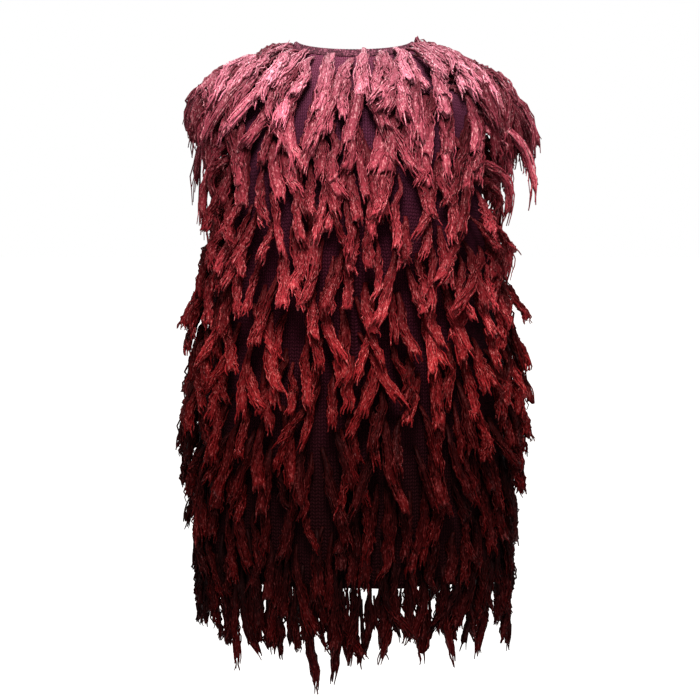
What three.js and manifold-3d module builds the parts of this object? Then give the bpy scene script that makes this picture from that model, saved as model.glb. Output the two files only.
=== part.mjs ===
// A sleeveless knitted jacket covered in rows of cut yarn fringe, in the shape that it has when worn,
// with nothing inside it. Millimetres, +Z up. The front faces -Y, and +X is the wearer's left.
// The origin lies midway between the two points where a shoulder seam meets the neck edge.
import * as THREE from "three";
import Module from "manifold-3d";

const wasm = await Module();
wasm.setup();

// Driving sizes of the cut
const WALL = 2.5;
const SEAM_GAP = 0.3;
const HEM_Z = -640;
const UNDERARM_Z = -245;
const NECK_HALF_WIDTH = 75;
const NAPE = { y: 58, z: -16 };
const FRONT_NECK = { y: -84, z: -96 };
const SHOULDER = { x: 166, y: -6, z: -50 };
const ARMHOLE_REACH = { back: 56, front: 60 };
const OPEN_HALF = { neck: 7, hem: 21 };
const BAND = { height: 10, shoulder: 8, thickness: 3.5, gap: 0.5, standing: 0.6 };
const DRAPE = { waves: 7, depth: 4.5, startZ: -330 };

// Sections of the worn body: half width, depth behind and before the side seam, and squareness of the oval
const SECTIONS = [
  { z: -640, halfWidth: 191, back: 126, front: 120, square: 2.2 },
  { z: -520, halfWidth: 193, back: 124, front: 120, square: 2.2 },
  { z: -420, halfWidth: 190, back: 117, front: 117, square: 2.25 },
  { z: -320, halfWidth: 179, back: 112, front: 121, square: 2.3 },
  { z: -245, halfWidth: 170, back: 113, front: 123, square: 2.35 },
  { z: -160, halfWidth: 163, back: 112, front: 114, square: 2.5 },
  { z: -110, halfWidth: 162, back: 104, front: 100, square: 2.6 },
];

// Where the columns of a panel's grid stand, from its centre line (0) to its side seam (1)
const NECK_END = 0.5;
const COLUMNS = [0, 0.125, 0.25, 0.375, NECK_END, 0.62, 0.75, 0.88, 1];
const SIDE_COLUMN = COLUMNS.length - 1;
const BODY_ROWS = 9;
const ARMHOLE_ROWS = 4;
const ROLL_ROWS = 6;
const ROLL_START_ROW = BODY_ROWS + ARMHOLE_ROWS;
const TOP_ROW = ROLL_START_ROW + ROLL_ROWS;

// The fringe. Lengths are of the locks, spacing is along the cloth.
const FRINGE = {
  firstRow: 10,
  rowSpacing: 63,
  armholeFrom: -210,
  stripHeight: 6,
  stripGap: 0.45,
  stripThickness: 2,
  lockLength: 94,
  hemLockLength: 118,
  lengthSpread: 13,
  lockWidth: 21,
  lockDepth: 9,
  lift: 0.235,
  hemLift: 0.09,
  lean: 0.3,
  endLean: 0.1,
  widthSpread: 0.12,
  stagger: 0.25,
};

// The rows of fringe on a panel, from the hem up. Those below the armhole reach from seam to seam, and
// those beside it stop short of its edge. `at` is how far up the roll a row lies, and shares are where a
// row begins and ends.
const ROW_PLANS = {
  back: {
    evenRows: 9,
    belowArm: { shares: [-0.97, 0.97], locks: 11 },
    besideArm: { shares: [-0.83, 0.83], locks: 9 },
    onRoll: [
      { at: 0.46, shares: [-0.82, 0.82], locks: 10 },
      { at: 0.86, shares: [-0.82, 0.82], locks: 11 },
    ],
  },
  front: {
    evenRows: 8,
    belowArm: { shares: [0.04, 0.97], locks: 5 },
    besideArm: { shares: [0.04, 0.83], locks: 4 },
    onRoll: [
      { at: 0.22, shares: [0.06, 0.82], locks: 4 },
      { at: 0.55, shares: [0.4, 0.82], locks: 3 },
      { at: 0.86, shares: [0.12, 0.82], locks: 5 },
    ],
  },
};

// The fringe round the top of each armhole
const ARMHOLE_FRINGE = {
  columns: { inner: SIDE_COLUMN - 0.5, outer: SIDE_COLUMN - 0.12 },
  firstRow: ROLL_START_ROW - 1,
  seamStep: 0.02,
  locks: 9,
  reach: 40,
  reachSpread: 7,
  drop: 88,
  dropSpread: 12,
  arch: 10,
  lockWidth: 19,
  lockDepth: 7,
};

// Stations along a lock: share of its length, and of its full width and depth
const LOCK_STATIONS = [
  { along: 0, width: 0.5, depth: 0.3 },
  { along: 0.3, width: 0.95, depth: 1 },
  { along: 0.68, width: 1, depth: 0.85 },
  { along: 1, width: 0.36, depth: 0.2 },
];

const ROLLS = {
  back: {
    facing: 1,
    startZ: -130,
    start: 42,
    end: 44,
    arrival: { centre: [0, -0.45, 0.89], corner: [-0.6, -0.75, 0.28], tip: [0, -1, 0] },
  },
  front: {
    facing: -1,
    startZ: -165,
    start: 40,
    end: 40,
    arrival: { centre: [0, 0.4, 0.92], corner: [-0.6, 0.75, 0.28], tip: [0, 1, 0] },
  },
};

const COLOURS = { ground: 0x3a0a18, band: 0x4a1020, fringe: 0x7a1522 };

const clamp01 = (value) => Math.min(1, Math.max(0, value));
const smooth = (t) => t * t * (3 - 2 * t);
const lerp = THREE.MathUtils.lerp;

// A repeatable number from -1 to 1 for lock `index` of row `row`
function wobble(index, row, salt) {
  const wave = Math.sin(index * 12.9898 + row * 78.233 + salt * 37.719) * 43758.5453;
  return 2 * (wave - Math.floor(wave)) - 1;
}

// The section at a height, from a smooth curve through the table's rows
function sectionAt(z) {
  const last = SECTIONS.length - 1;
  let i = 0;
  while (i < last - 1 && z > SECTIONS[i + 1].z) i += 1;
  const before = SECTIONS[Math.max(0, i - 1)];
  const low = SECTIONS[i];
  const high = SECTIONS[i + 1];
  const after = SECTIONS[Math.min(last, i + 2)];
  const span = high.z - low.z;
  const t = clamp01((z - low.z) / span);
  const value = (name) => {
    const lowSlope = ((high[name] - before[name]) / (high.z - before.z)) * span;
    const highSlope = ((after[name] - low[name]) / (after.z - low.z)) * span;
    const stay = 2 * t ** 3 - 3 * t ** 2 + 1;
    return (
      stay * low[name] +
      (t ** 3 - 2 * t ** 2 + t) * lowSlope +
      (1 - stay) * high[name] +
      (t ** 3 - t ** 2) * highSlope
    );
  };
  return {
    halfWidth: value("halfWidth"),
    back: value("back"),
    front: value("front"),
    square: value("square"),
  };
}

// How far from the side seam plane a panel's edge lies at a height: the seam's gap below the arm, and an
// oval above it
function edgeReach(side, z) {
  if (z <= UNDERARM_Z) return SEAM_GAP / 2;
  const turn = Math.acos(1 - (2 * (z - UNDERARM_Z)) / (SHOULDER.z - UNDERARM_Z));
  return Math.max(SEAM_GAP / 2, ARMHOLE_REACH[side] * Math.sin(turn));
}

// The fronts hang apart: half the gap between them at a height
function openHalf(z) {
  return lerp(OPEN_HALF.neck, OPEN_HALF.hem, clamp01((z - FRONT_NECK.z) / (HEM_Z - FRONT_NECK.z)));
}

// A point of the cloth below the roll: `share` runs from the centre line to the side seam or armhole
function bodyPoint(side, share, z) {
  const section = sectionAt(z);
  const depth = section[side];
  const power = 2 / section.square;
  const edgeAngle = Math.asin((edgeReach(side, z) / depth) ** (1 / power));
  const centreX = side === "front" ? openHalf(z) : 0;
  const centreAngle = Math.acos((centreX / section.halfWidth) ** (1 / power));
  const angle = lerp(centreAngle, edgeAngle, share);
  const drop = clamp01((z - DRAPE.startZ) / (HEM_Z - DRAPE.startZ));
  const wave = 1 + (DRAPE.depth / section.halfWidth) * smooth(drop) * Math.cos(2 * DRAPE.waves * angle);
  return new THREE.Vector3(
    section.halfWidth * Math.cos(angle) ** power * wave,
    ROLLS[side].facing * Math.max(SEAM_GAP / 2, depth * Math.sin(angle) ** power * wave),
    z,
  );
}

// The panel's top edge: along the neck up to NECK_END, then along the shoulder seam
function topPoint(side, share) {
  const facing = ROLLS[side].facing;
  const seamY = (facing * SEAM_GAP) / 2;
  if (share < NECK_END) {
    const turn = (share / NECK_END) * (Math.PI / 2);
    const centre = side === "back" ? NAPE : FRONT_NECK;
    const startX = side === "front" ? OPEN_HALF.neck : 0;
    return new THREE.Vector3(
      startX + (NECK_HALF_WIDTH - startX) * Math.sin(turn),
      seamY + (centre.y - seamY) * Math.cos(turn),
      centre.z * Math.cos(turn) ** 1.3,
    );
  }
  const out = (share - NECK_END) / (1 - NECK_END);
  return new THREE.Vector3(
    lerp(NECK_HALF_WIDTH, SHOULDER.x, out),
    SHOULDER.y * out + seamY,
    SHOULDER.z * out ** 1.1,
  );
}

// The way in which a column arrives at the top edge
function arrivalAt(side, share) {
  const { centre, corner, tip } = ROLLS[side].arrival;
  const from = share < NECK_END ? centre : corner;
  const to = share < NECK_END ? corner : tip;
  const t = share < NECK_END ? share / NECK_END : smooth(clamp01((1.6 * (share - NECK_END)) / (1 - NECK_END)));
  return new THREE.Vector3(...from).lerp(new THREE.Vector3(...to), t).normalize();
}

// A point of the cloth where it rolls in over the shoulder or up to the neck, t from 0 to 1
function rollPoint(side, share, t) {
  const roll = ROLLS[side];
  const start = bodyPoint(side, share, roll.startZ);
  const below = bodyPoint(side, share, roll.startZ - 4);
  const end = topPoint(side, share);
  const leave = start.clone().sub(below).normalize();
  const arrive = arrivalAt(side, share);
  const curve = new THREE.CubicBezierCurve3(
    start,
    start.clone().addScaledVector(leave, roll.start),
    end.clone().addScaledVector(arrive, -roll.end),
    end,
  );
  return curve.getPoint(t);
}

// One column of points from the hem to the top edge
function columnPoints(side, share) {
  const points = [];
  for (let i = 0; i < BODY_ROWS; i += 1) {
    points.push(bodyPoint(side, share, lerp(HEM_Z, UNDERARM_Z, i / BODY_ROWS)));
  }
  const startZ = ROLLS[side].startZ;
  const lastTurn = Math.acos(1 - (2 * (startZ - UNDERARM_Z)) / (SHOULDER.z - UNDERARM_Z));
  for (let i = 0; i < ARMHOLE_ROWS; i += 1) {
    const turn = (lastTurn * i) / ARMHOLE_ROWS;
    points.push(bodyPoint(side, share, UNDERARM_Z + ((SHOULDER.z - UNDERARM_Z) * (1 - Math.cos(turn))) / 2));
  }
  for (let i = 0; i <= ROLL_ROWS; i += 1) points.push(rollPoint(side, share, i / ROLL_ROWS));
  return points;
}

// A panel as a grid of outer points with their normals. `shares` runs across it, and a negative share
// is mirrored.
function makePanel(side, shares) {
  const columns = shares.map((share) => {
    const points = columnPoints(side, Math.abs(share));
    if (share < 0) points.forEach((p) => p.setX(-p.x));
    return points;
  });
  const rowCount = columns[0].length;
  const rows = Array.from({ length: rowCount }, (_, r) => columns.map((column) => column[r]));
  const normals = rows.map((row) => row.map(() => new THREE.Vector3()));
  const outward = ROLLS[side].facing;
  for (let r = 0; r + 1 < rowCount; r += 1) {
    for (let c = 0; c + 1 < shares.length; c += 1) {
      const across = rows[r][c + 1].clone().add(rows[r + 1][c + 1]).sub(rows[r][c]).sub(rows[r + 1][c]);
      const up = rows[r + 1][c].clone().add(rows[r + 1][c + 1]).sub(rows[r][c]).sub(rows[r][c + 1]);
      const face = up.cross(across).multiplyScalar(outward);
      [[r, c], [r, c + 1], [r + 1, c], [r + 1, c + 1]].forEach(([i, j]) => normals[i][j].add(face));
    }
  }
  const seamRow = (r) => r <= BODY_ROWS;
  normals.forEach((row, r) =>
    row.forEach((normal, c) => {
      const share = Math.abs(shares[c]);
      const onSideSeam = share === 1 && seamRow(r);
      const onShoulderSeam = r === rowCount - 1 && share >= NECK_END;
      if (onSideSeam || onShoulderSeam) normal.setY(0);
      normal.normalize();
    }),
  );
  return { side, shares, rows, normals };
}

// The same panel on the other side of the body
function mirrored(panel) {
  const flip = (grid) => grid.map((row) => row.map((p) => p.clone().setX(-p.x)));
  return { ...panel, rows: flip(panel.rows), normals: flip(panel.normals) };
}

// The closed wall of a panel: its outer points, the same points moved in by the wall, and the rim between them
function panelGeometry(panel) {
  const { rows, normals } = panel;
  const height = rows.length;
  const width = rows[0].length;
  const outer = rows.flat();
  const inner = rows.flatMap((row, r) => row.map((p, c) => p.clone().addScaledVector(normals[r][c], -WALL)));
  const at = (r, c) => r * width + c;
  const back = outer.length;
  const faces = [];
  const quad = (a, b, c, d) => faces.push([a, b, c], [a, c, d]);
  // Each cell is folded along the diagonal that lies further in, so that what is set on the cell clears it.
  const foldsIn = (r, c) => {
    const rising = rows[r][c].clone().add(rows[r + 1][c + 1]);
    const falling = rows[r][c + 1].clone().add(rows[r + 1][c]);
    return rising.sub(falling).dot(normals[r][c]) <= 0;
  };
  for (let r = 0; r + 1 < height; r += 1) {
    for (let c = 0; c + 1 < width; c += 1) {
      const cell = [at(r, c), at(r, c + 1), at(r + 1, c + 1), at(r + 1, c)];
      const corners = foldsIn(r, c) ? cell : [...cell.slice(1), cell[0]];
      quad(...corners);
      quad(...[0, 3, 2, 1].map((k) => back + corners[k]));
    }
  }
  for (let c = 0; c + 1 < width; c += 1) {
    quad(at(0, c), back + at(0, c), back + at(0, c + 1), at(0, c + 1));
    quad(at(height - 1, c), at(height - 1, c + 1), back + at(height - 1, c + 1), back + at(height - 1, c));
  }
  for (let r = 0; r + 1 < height; r += 1) {
    quad(at(r, 0), at(r + 1, 0), back + at(r + 1, 0), back + at(r, 0));
    quad(at(r, width - 1), back + at(r, width - 1), back + at(r + 1, width - 1), at(r + 1, width - 1));
  }
  return geometryOf(solidFrom([...outer, ...inner], faces));
}

// A closed solid from points and triangles, turned so that its faces point out
function solidFrom(points, faces) {
  const volume = faces.reduce(
    (sum, [a, b, c]) => sum + points[a].dot(points[b].clone().cross(points[c])),
    0,
  );
  const turned = volume < 0 ? faces.map(([a, b, c]) => [a, c, b]) : faces;
  return new wasm.Manifold(
    new wasm.Mesh({
      numProp: 3,
      vertProperties: Float32Array.from(points.flatMap((p) => p.toArray())),
      triVerts: Uint32Array.from(turned.flat()),
    }),
  );
}

function geometryOf(solid) {
  const mesh = solid.getMesh();
  const geometry = new THREE.BufferGeometry();
  geometry.setAttribute("position", new THREE.BufferAttribute(Float32Array.from(mesh.vertProperties), 3));
  geometry.setIndex(new THREE.BufferAttribute(Uint32Array.from(mesh.triVerts), 1));
  return geometry;
}

// A closed bar through rings of points, all with the same number of corners
function barThrough(rings) {
  const corners = rings[0].length;
  const faces = [];
  for (let i = 0; i + 1 < rings.length; i += 1) {
    for (let k = 0; k < corners; k += 1) {
      const a = i * corners + k;
      const b = i * corners + ((k + 1) % corners);
      faces.push([a, b, b + corners], [a, b + corners, a + corners]);
    }
  }
  const last = (rings.length - 1) * corners;
  for (let k = 1; k + 1 < corners; k += 1) {
    faces.push([0, k + 1, k], [last, last + k, last + k + 1]);
  }
  return solidFrom(rings.flat(), faces);
}

// A value of the panel's grid between its columns and rows
function between(grid, column, row) {
  const c = Math.min(grid[0].length - 2, Math.max(0, Math.floor(column)));
  const r = Math.min(grid.length - 2, Math.max(0, Math.floor(row)));
  const low = grid[r][c].clone().lerp(grid[r][c + 1], column - c);
  const high = grid[r + 1][c].clone().lerp(grid[r + 1][c + 1], column - c);
  return low.lerp(high, row - r);
}

// A place on a panel's outer face, moved out by `lift`, with the face's directions there
function onPanel(panel, column, row, lift) {
  const normal = between(panel.normals, column, row).normalize();
  const step = 0.05;
  const side = column > 0.5 ? -step : step;
  const across = between(panel.rows, column + side, row).sub(between(panel.rows, column, row));
  across.multiplyScalar(Math.sign(side)).normalize();
  return { point: between(panel.rows, column, row).addScaledVector(normal, lift), normal, across };
}

// The row that lies `distance` below `row` along a column, and how far below the hem the place is
function walkDown(panel, column, row, distance) {
  let at = row;
  let left = distance;
  while (left > 0 && at > 0) {
    const next = Math.max(0, Math.ceil(at) - 1);
    const step = between(panel.rows, column, at).distanceTo(between(panel.rows, column, next));
    if (step >= left) return { row: lerp(at, next, left / step), below: 0 };
    left -= step;
    at = next;
  }
  return { row: Math.max(0, at), below: left };
}

// The row that lies `distance` above the hem along a column
function rowAbove(panel, column, distance) {
  let length = 0;
  for (let r = 0; r < TOP_ROW; r += 1) {
    length += between(panel.rows, column, r).distanceTo(between(panel.rows, column, r + 1));
  }
  return walkDown(panel, column, TOP_ROW, length - distance).row;
}

// The place of a share among a panel's columns, counted from its centre line
function columnOf(share) {
  const c = Math.min(SIDE_COLUMN - 1, COLUMNS.findLastIndex((s) => s <= share));
  return c + (share - COLUMNS[c]) / (COLUMNS[c + 1] - COLUMNS[c]);
}

// Places spread evenly along a row between two columns
function spreadAlong(panel, row, from, to, count) {
  const samples = 60;
  const lengths = [0];
  for (let i = 1; i <= samples; i += 1) {
    const here = between(panel.rows, lerp(from, to, i / samples), row);
    const last = between(panel.rows, lerp(from, to, (i - 1) / samples), row);
    lengths.push(lengths[i - 1] + here.distanceTo(last));
  }
  const columnAt = (distance) => {
    const i = Math.max(1, lengths.findIndex((length) => length >= distance));
    return lerp(from, to, (i - 1 + (distance - lengths[i - 1]) / (lengths[i] - lengths[i - 1])) / samples);
  };
  return Array.from({ length: count }, (_, k) => columnAt((lengths[samples] * (k + 0.5)) / count));
}

// A lock of yarn as a three-sided tapering bar with its ridge outside. `placeAt` gives its centre and
// directions at a share of its length.
function lockSolid(placeAt, width, depth) {
  return barThrough(
    LOCK_STATIONS.map((station) => {
      const { point, normal, across } = placeAt(station.along);
      const half = (width * station.width) / 2;
      const thick = depth * station.depth;
      const corner = (sideways, out) =>
        point.clone().addScaledVector(across, sideways).addScaledVector(normal, out);
      return [corner(half, -thick / 3), corner(0, (2 * thick) / 3), corner(-half, -thick / 3)];
    }),
  );
}

// The narrow strip that carries a row's locks: a bar on the panel's own points between two rows
function stripSolid(stations) {
  return barThrough(
    stations.map(({ panel, low, high }) => {
      const near = FRINGE.stripGap;
      const far = FRINGE.stripGap + FRINGE.stripThickness;
      return [
        onPanel(panel, ...low, near).point,
        onPanel(panel, ...low, far).point,
        onPanel(panel, ...high, far).point,
        onPanel(panel, ...high, near).point,
      ];
    }),
  );
}

// Whole columns between two places, with the two places themselves
function columnsBetween(from, to) {
  const columns = [from];
  for (let c = Math.floor(from) + 1; c < to; c += 1) columns.push(c);
  columns.push(to);
  return columns;
}

// One row of fringe on a panel: the strip, and locks that lie down the cloth and stand off it more
// towards their tips
function fringeRow(panel, { row, from, to, count, number, length = FRINGE.lockLength, lift = FRINGE.lift }) {
  const middle = (from + to) / 2;
  const halfStrip = (column) => {
    const r = Math.min(TOP_ROW - 1, Math.floor(row));
    const rowLength = between(panel.rows, column, r).distanceTo(between(panel.rows, column, r + 1));
    return FRINGE.stripHeight / 2 / rowLength;
  };
  const strip = stripSolid(
    columnsBetween(from, to).map((column) => ({
      panel,
      low: [column, row - halfStrip(column)],
      high: [column, row + halfStrip(column)],
    })),
  );
  const rootLift = FRINGE.stripGap + 0.8 * FRINGE.stripThickness;
  return spreadAlong(panel, row, from, to, count).reduce((solid, column, index) => {
    const long = length + FRINGE.lengthSpread * wobble(index, number, 1);
    const atEnd = index === 0 || index === count - 1;
    const lean = atEnd ? Math.sign(middle - column) * FRINGE.endLean : FRINGE.lean * wobble(index, number, 2);
    const width = FRINGE.lockWidth * (1 + FRINGE.widthSpread * wobble(index, number, 3));
    const placeAt = (along) => {
      const leaning = column + lean * along;
      const { row: there, below } = walkDown(panel, leaning, row, long * along);
      const place = onPanel(panel, leaning, there, rootLift + lift * long * along);
      place.point.z -= below;
      return place;
    };
    return solid.add(lockSolid(placeAt, width, FRINGE.lockDepth));
  }, strip);
}

// The rows of fringe of a panel, from the hem up, as its plan sets them. `centreColumn` lies at share 0.
function fringeRows(panel, plan, centreColumn, seed) {
  const measured = centreColumn === 0 ? columnOf(0.5) : centreColumn;
  const evenRows = Array.from({ length: plan.evenRows }, (_, k) => {
    const height = FRINGE.firstRow + k * FRINGE.rowSpacing;
    const reach = HEM_Z + height > FRINGE.armholeFrom ? plan.besideArm : plan.belowArm;
    return { row: rowAbove(panel, measured, height), ...reach };
  });
  evenRows[0].length = FRINGE.hemLockLength;
  evenRows[0].lift = FRINGE.hemLift;
  const onRoll = plan.onRoll.map(({ at, ...reach }) => ({
    row: ROLL_START_ROW + ROLL_ROWS * at,
    ...reach,
  }));
  return [...evenRows, ...onRoll].map(({ shares, locks, ...row }, k) => {
    const [from, to] = shares.map((share) => centreColumn + Math.sign(share) * columnOf(Math.abs(share)));
    const inset = k % 2 === 0 ? 0 : FRINGE.stagger;
    return fringeRow(panel, { ...row, from: from + inset, to: to - inset, count: locks, number: k + seed });
  });
}

// The fringe round the top of an armhole, over the shoulder from the back to the front. Its locks fall
// outwards.
function armholeFringe(back, front, sideSign, number) {
  const { columns, firstRow, seamStep, locks, reach, reachSpread, drop, dropSpread, arch } = ARMHOLE_FRINGE;
  const place = (panel, row, column) => [
    panel.side === "back" ? SIDE_COLUMN + sideSign * column : column,
    Math.min(row, TOP_ROW - seamStep),
  ];
  const rowsUp = Array.from({ length: TOP_ROW - firstRow + 1 }, (_, i) => firstRow + i);
  const spine = [
    ...rowsUp.map((row) => ({ panel: back, row })),
    ...[...rowsUp].reverse().map((row) => ({ panel: front, row })),
  ];
  const strip = stripSolid(
    spine.map(({ panel, row }) => ({
      panel,
      low: place(panel, row, columns.inner),
      high: place(panel, row, columns.outer),
    })),
  );
  const middleColumn = (columns.inner + columns.outer) / 2;
  const middles = spine.map(({ panel, row }) => onPanel(panel, ...place(panel, row, middleColumn), 0));
  const sideways = new THREE.Vector3(sideSign, 0, 0);
  return Array.from({ length: locks }, (_, i) => i).reduce((solid, i) => {
    const at = ((i + 0.5) / locks) * (spine.length - 1);
    const k = Math.floor(at);
    const normal = middles[k].normal.clone().lerp(middles[k + 1].normal, at - k).normalize();
    const run = middles[k + 1].point.clone().sub(middles[k].point).normalize();
    const root = middles[k].point.clone().lerp(middles[k + 1].point, at - k);
    root.addScaledVector(normal, FRINGE.stripGap + 0.8 * FRINGE.stripThickness);
    const out = normal.clone().cross(run).normalize();
    if (out.x * sideSign < 0) out.negate();
    const outBy = reach + reachSpread * wobble(i, number, 4);
    const downBy = drop + dropSpread * wobble(i, number, 5);
    const placeAt = (along) => {
      const swing = (along * Math.PI) / 2;
      const point = root.clone().addScaledVector(out, outBy * Math.sin(swing));
      point.addScaledVector(normal, arch * Math.sin(2 * swing));
      point.z -= downBy * (1 - Math.cos(swing));
      return {
        point,
        normal: normal.clone().lerp(sideways, smooth(along)).normalize(),
        across: run.clone().lerp(new THREE.Vector3(0, -1, 0), smooth(along)).normalize(),
      };
    };
    return solid.add(lockSolid(placeAt, ARMHOLE_FRINGE.lockWidth, ARMHOLE_FRINGE.lockDepth));
  }, strip);
}

// The knitted band that stands on the neck edge, from one front edge round the back to the other
function neckBand(back, left, right) {
  const corner = columnOf(NECK_END);
  const count = (from, to) => {
    const step = Math.sign(to - from);
    return Array.from({ length: Math.abs(to - from) + 1 }, (_, i) => from + i * step);
  };
  const stations = [
    ...count(0, corner - 1).map((c) => [[left, c]]),
    [[left, corner], [back, SIDE_COLUMN + corner]],
    ...count(corner - 1, 1 - corner).map((c) => [[back, SIDE_COLUMN + c]]),
    [[back, SIDE_COLUMN - corner], [right, corner]],
    ...count(corner - 1, 0).map((c) => [[right, c]]),
  ].map((places) => {
    const sum = (value) => places.reduce((total, place) => total.add(value(...place)), new THREE.Vector3());
    const riseOf = (panel, c) => panel.rows[TOP_ROW][c].clone().sub(panel.rows[TOP_ROW - 1][c]);
    return {
      point: sum((panel, c) => panel.rows[TOP_ROW][c]).divideScalar(places.length),
      rise: sum(riseOf).normalize(),
      normal: sum((panel, c) => panel.normals[TOP_ROW][c]).normalize(),
    };
  });
  const outerFace = (BAND.thickness - WALL) / 2;
  const innerFace = outerFace - BAND.thickness;
  const rings = stations.map(({ point, rise, normal }, i) => {
    const before = stations[Math.max(0, i - 1)].point;
    const after = stations[Math.min(stations.length - 1, i + 1)].point;
    const run = after.clone().sub(before).normalize();
    const up = rise.clone().setZ(rise.z + BAND.standing);
    up.addScaledVector(run, -up.dot(run)).normalize();
    const outward = run.clone().cross(up);
    outward.multiplyScalar(Math.sign(outward.dot(normal)));
    const at = (height, out) => point.clone().addScaledVector(up, height).addScaledVector(outward, out);
    return [
      at(BAND.gap, outerFace),
      at(BAND.shoulder, outerFace),
      at(BAND.height, (outerFace + innerFace) / 2),
      at(BAND.shoulder, innerFace),
      at(BAND.gap, innerFace),
    ];
  });
  return barThrough(rings);
}

const backShares = [...COLUMNS.slice(1).reverse().map((share) => -share), ...COLUMNS];
const backPanel = makePanel("back", backShares);
const leftFront = makePanel("front", COLUMNS);
const rightFront = mirrored(leftFront);

const jacket = new THREE.Group();

function addPiece(name, geometry, colour) {
  const material = new THREE.MeshStandardMaterial({ color: colour, roughness: 0.7, metalness: 0 });
  const mesh = new THREE.Mesh(geometry, material);
  mesh.name = name;
  jacket.add(mesh);
}

function addFringeRows(name, rows) {
  rows.forEach((row, k) => {
    const number = String(k + 1).padStart(2, "0");
    addPiece(`${name}_${number}`, geometryOf(row), COLOURS.fringe);
  });
}

addPiece("back_panel", panelGeometry(backPanel), COLOURS.ground);
addPiece("front_panel_left", panelGeometry(leftFront), COLOURS.ground);
addPiece("front_panel_right", panelGeometry(rightFront), COLOURS.ground);
addPiece("neck_band", geometryOf(neckBand(backPanel, leftFront, rightFront)), COLOURS.band);
addFringeRows("back_fringe", fringeRows(backPanel, ROW_PLANS.back, SIDE_COLUMN, 0));
addFringeRows("front_fringe_left", fringeRows(leftFront, ROW_PLANS.front, 0, 20));
addFringeRows("front_fringe_right", fringeRows(rightFront, ROW_PLANS.front, 0, 40));
addPiece("armhole_fringe_left", geometryOf(armholeFringe(backPanel, leftFront, 1, 60)), COLOURS.fringe);
addPiece("armhole_fringe_right", geometryOf(armholeFringe(backPanel, rightFront, -1, 80)), COLOURS.fringe);

export default jacket;
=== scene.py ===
"""The looks of a sleeveless knitted jacket covered in rows of cut yarn fringe.

Metres, +Z up, the back towards +Y, +X the wearer's left. The surfaces are those of the cut:
a panel's points are worked out by share (0 at its centre line, 1 at its side seam) and height.
"""
import math

import bpy
import numpy as np
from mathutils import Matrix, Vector


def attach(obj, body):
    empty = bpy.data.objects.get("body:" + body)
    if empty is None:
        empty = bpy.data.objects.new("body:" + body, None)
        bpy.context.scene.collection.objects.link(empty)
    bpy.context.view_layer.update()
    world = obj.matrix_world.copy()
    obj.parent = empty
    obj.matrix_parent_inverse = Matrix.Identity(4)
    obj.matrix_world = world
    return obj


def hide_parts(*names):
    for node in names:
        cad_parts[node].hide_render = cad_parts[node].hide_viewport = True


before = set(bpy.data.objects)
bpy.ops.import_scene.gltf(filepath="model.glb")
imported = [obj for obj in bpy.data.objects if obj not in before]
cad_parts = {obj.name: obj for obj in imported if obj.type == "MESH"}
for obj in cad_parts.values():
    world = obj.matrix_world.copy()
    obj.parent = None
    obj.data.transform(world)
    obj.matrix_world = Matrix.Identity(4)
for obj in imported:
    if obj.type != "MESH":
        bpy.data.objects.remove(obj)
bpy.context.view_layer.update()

# The cut, as in the part's source
WALL = 0.0025
SEAM_GAP = 0.0003
HEM_Z = -0.640
UNDERARM_Z = -0.245
NECK_HALF_WIDTH = 0.075
NECK_END = 0.5
NECK_CENTRE = {"back": (0.058, -0.016), "front": (-0.084, -0.096)}
NECK_CURVE = 1.3
SHOULDER = (0.166, -0.006, -0.050)
SHOULDER_CURVE = 1.1
SHOULDER_TURN = 1.6
ARMHOLE_REACH = {"back": 0.056, "front": 0.060}
OPEN_HALF = {"neck": 0.007, "hem": 0.021}
DRAPE = {"waves": 7, "depth": 0.0045, "start_z": -0.330}
FACING = {"back": 1, "front": -1}

# Columns: height, half width, depth behind and before the side seam, squareness of the oval
SECTIONS = np.array(
    [
        (-0.640, 0.191, 0.126, 0.120, 2.20),
        (-0.520, 0.193, 0.124, 0.120, 2.20),
        (-0.420, 0.190, 0.117, 0.117, 2.25),
        (-0.320, 0.179, 0.112, 0.121, 2.30),
        (-0.245, 0.170, 0.113, 0.123, 2.35),
        (-0.160, 0.163, 0.112, 0.114, 2.50),
        (-0.110, 0.162, 0.104, 0.100, 2.60),
    ]
)
SECTION_DEPTH = {"back": 1, "front": 2}

# Where a panel leaves the body and rolls in to the neck and shoulder, and how its columns arrive there
ROLLS = {
    "back": {"z": -0.130, "start": 0.042, "end": 0.044,
             "arrival": [(0, -0.45, 0.89), (-0.6, -0.75, 0.28), (0, -1, 0)]},
    "front": {"z": -0.165, "start": 0.040, "end": 0.040,
              "arrival": [(0, 0.4, 0.92), (-0.6, 0.75, 0.28), (0, 1, 0)]},
}

# Steps of the cloth: to tell how it leaves the body, to go on past an edge, and between its rows
LEAVING_STEP = 0.004
EDGE_STEP = 0.05
BODY_STEP = 0.008
ROLL_STEPS = 30
COLUMNS_PER_HALF = 48

# Stockinette: wales across half the back, and the height of a course
WALES_PER_HALF = 46
COURSE = 0.0042
EDGE_ROUND = 0.4 * WALL

# The band on the neck edge: a flattened tube with ribs, drawn from a smoothed run of the panels' edges
BAND = {"height": 0.010, "thickness": 0.0038, "gap": 0.0005, "standing": 0.6, "rib": 0.0042, "relief": 0.0006,
        "chain": 0.0006, "squareness": 0.55, "around": 16, "steps_per_rib": 6, "smoothing": 7}

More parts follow.
